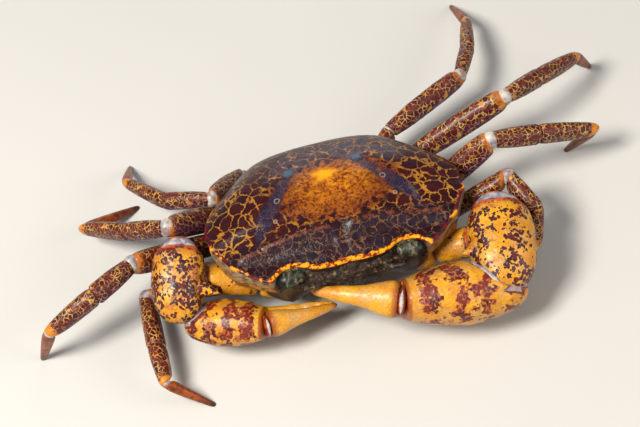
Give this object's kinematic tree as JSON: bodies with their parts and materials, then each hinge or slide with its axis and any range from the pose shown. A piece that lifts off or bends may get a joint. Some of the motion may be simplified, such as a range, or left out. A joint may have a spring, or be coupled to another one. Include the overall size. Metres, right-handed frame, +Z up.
{
  "type": "freshwater crab model",
  "caption": "Life-size still model of a netted freshwater crab, crouched on its walking legs with both claws folded before its mouth, the left claw larger.",
  "frame": {"origin": "centre of the object's footprint box, on the floor", "axes": "+Z up, the crab faces -Y and its left side is towards +X"},
  "size_m": [0.0836, 0.0588, 0.0157],
  "materials": {
    "back_shell": "glossy",
    "claw_shell": "glossy",
    "leg_shell": "satin",
    "leg_tip": "satin",
    "under_shell": "satin",
    "mouth_shell": "satin",
    "eye": "glossy"
  },
  "bodies": {
    "root": {"P1L_carpus": "claw_shell", "P1L_coxa": "claw_shell", "P1L_dactylus": "claw_shell", "P1L_merus": "claw_shell", "P1L_palm": "claw_shell", "P1R_carpus": "claw_shell", "P1R_coxa": "claw_shell", "P1R_dactylus": "claw_shell", "P1R_merus": "claw_shell", "P1R_palm": "claw_shell", "P2L_carpus": "leg_shell", "P2L_coxa": "leg_shell", "P2L_dactylus": "leg_tip", "P2L_merus": "leg_shell", "P2L_propodus": "leg_shell", "P2R_carpus": "leg_shell", "P2R_coxa": "leg_shell", "P2R_dactylus": "leg_tip", "P2R_merus": "leg_shell", "P2R_propodus": "leg_shell", "P3L_carpus": "leg_shell", "P3L_coxa": "leg_shell", "P3L_dactylus": "leg_tip", "P3L_merus": "leg_shell", "P3L_propodus": "leg_shell", "P3R_carpus": "leg_shell", "P3R_coxa": "leg_shell", "P3R_dactylus": "leg_tip", "P3R_merus": "leg_shell", "P3R_propodus": "leg_shell", "P4L_carpus": "leg_shell", "P4L_coxa": "leg_shell", "P4L_dactylus": "leg_tip", "P4L_merus": "leg_shell", "P4L_propodus": "leg_shell", "P4R_carpus": "leg_shell", "P4R_coxa": "leg_shell", "P4R_dactylus": "leg_tip", "P4R_merus": "leg_shell", "P4R_propodus": "leg_shell", "P5L_carpus": "leg_shell", "P5L_coxa": "leg_shell", "P5L_dactylus": "leg_tip", "P5L_merus": "leg_shell", "P5L_propodus": "leg_shell", "P5R_carpus": "leg_shell", "P5R_coxa": "leg_shell", "P5R_dactylus": "leg_tip", "P5R_merus": "leg_shell", "P5R_propodus": "leg_shell", "abdomen": "under_shell", "antenna_L": "mouth_shell", "antenna_R": "mouth_shell", "carapace": "back_shell", "eye_L": "eye", "eye_R": "eye", "maxilliped_L": "mouth_shell", "maxilliped_R": "mouth_shell", "thorax": "under_shell"}
  },
  "joints": []
}
